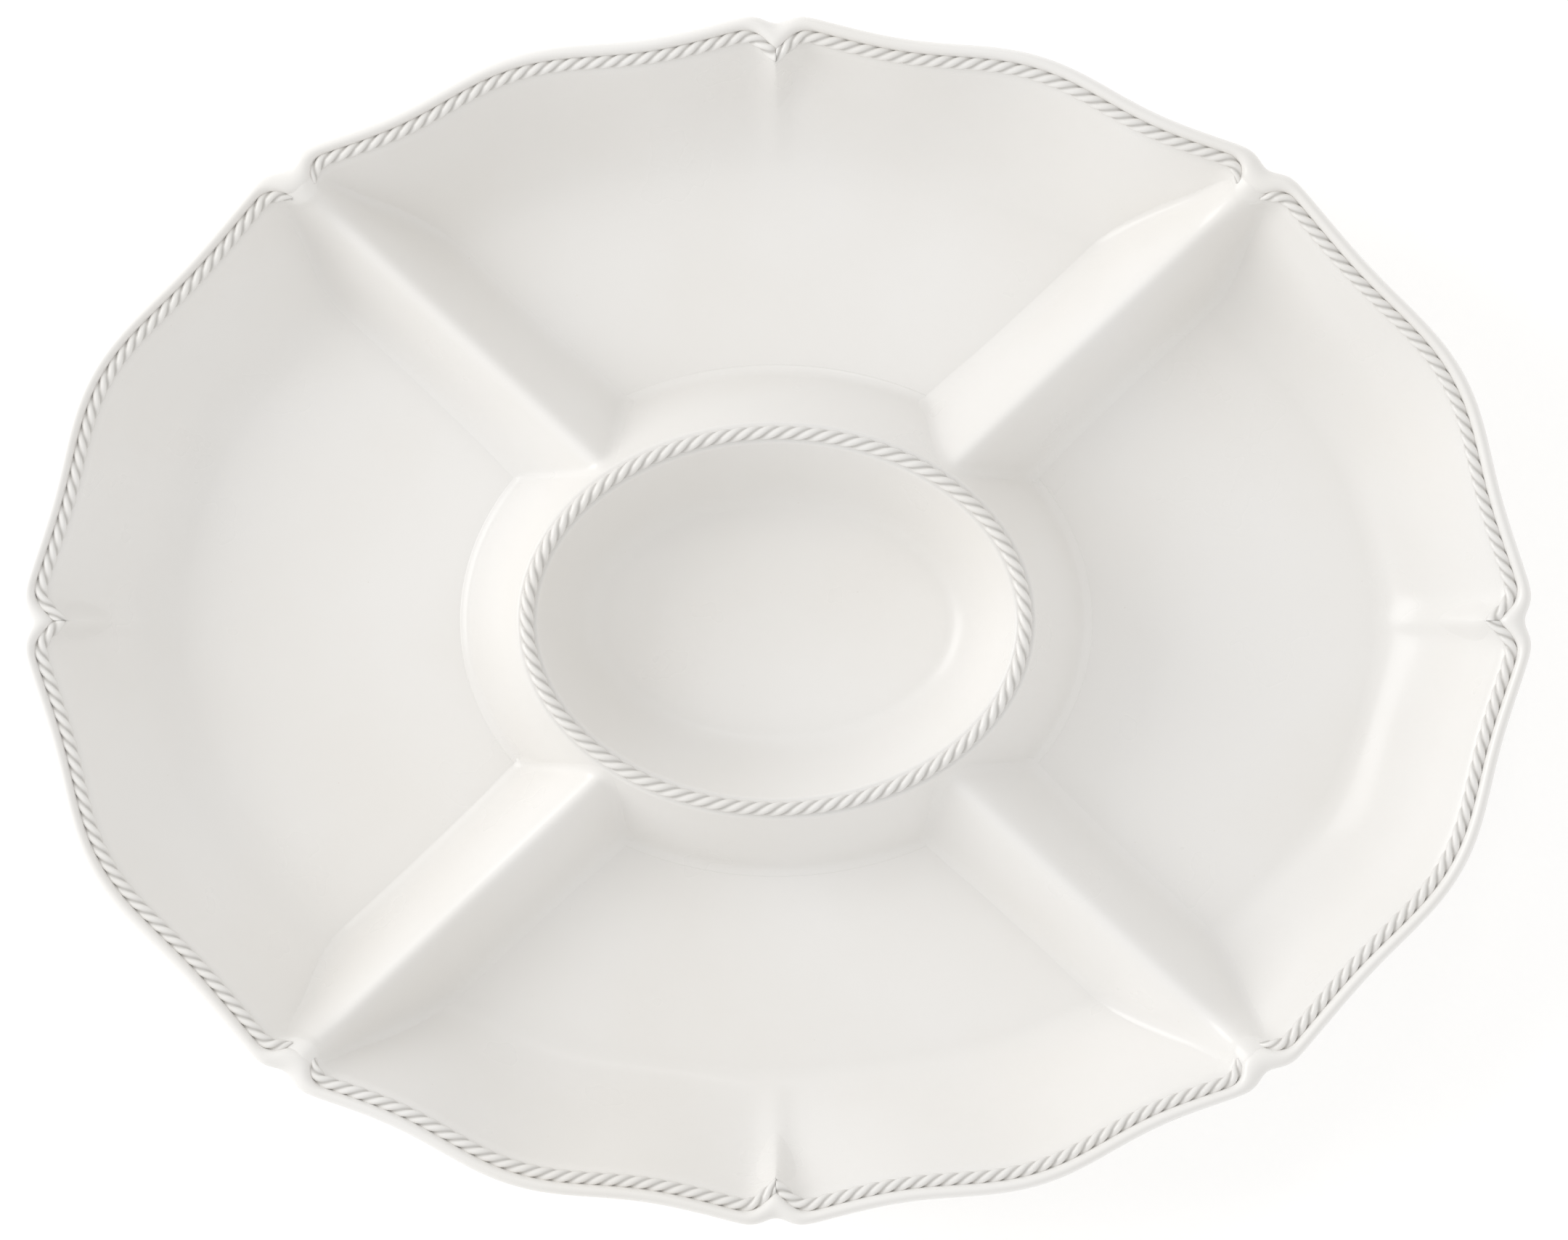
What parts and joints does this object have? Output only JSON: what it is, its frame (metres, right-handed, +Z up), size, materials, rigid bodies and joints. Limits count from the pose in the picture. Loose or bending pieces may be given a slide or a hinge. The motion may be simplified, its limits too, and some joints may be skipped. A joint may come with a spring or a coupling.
{
  "type": "chip and dip server",
  "caption": "Oval scalloped serving tray in cream glazed stoneware, with a rope rim, dividers and a raised dip bowl in the middle.",
  "frame": {"origin": "on the table, under the centre of the oval", "axes": "+X along the long axis, +Y across it, +Z up"},
  "size_m": [0.445, 0.356, 0.05],
  "materials": {
    "cream_glaze": "glossy warm off-white glaze",
    "bare_clay": "matt unglazed buff stoneware"
  },
  "bodies": {
    "root": {"tray": "cream_glaze", "centre_bowl": "cream_glaze", "bowl_rope": "cream_glaze", "divider_north_east": "cream_glaze", "divider_north_west": "cream_glaze", "divider_south_west": "cream_glaze", "divider_south_east": "cream_glaze", "rim_rope_east_north": "cream_glaze", "rim_rope_north_east": "cream_glaze", "rim_rope_north_west": "cream_glaze", "rim_rope_west_north": "cream_glaze", "rim_rope_west_south": "cream_glaze", "rim_rope_south_west": "cream_glaze", "rim_rope_south_east": "cream_glaze", "rim_rope_east_south": "cream_glaze", "rim_rib_east": "cream_glaze", "rim_rib_north": "cream_glaze", "rim_rib_west": "cream_glaze", "rim_rib_south": "cream_glaze", "foot_ring": "bare_clay"}
  },
  "joints": []
}
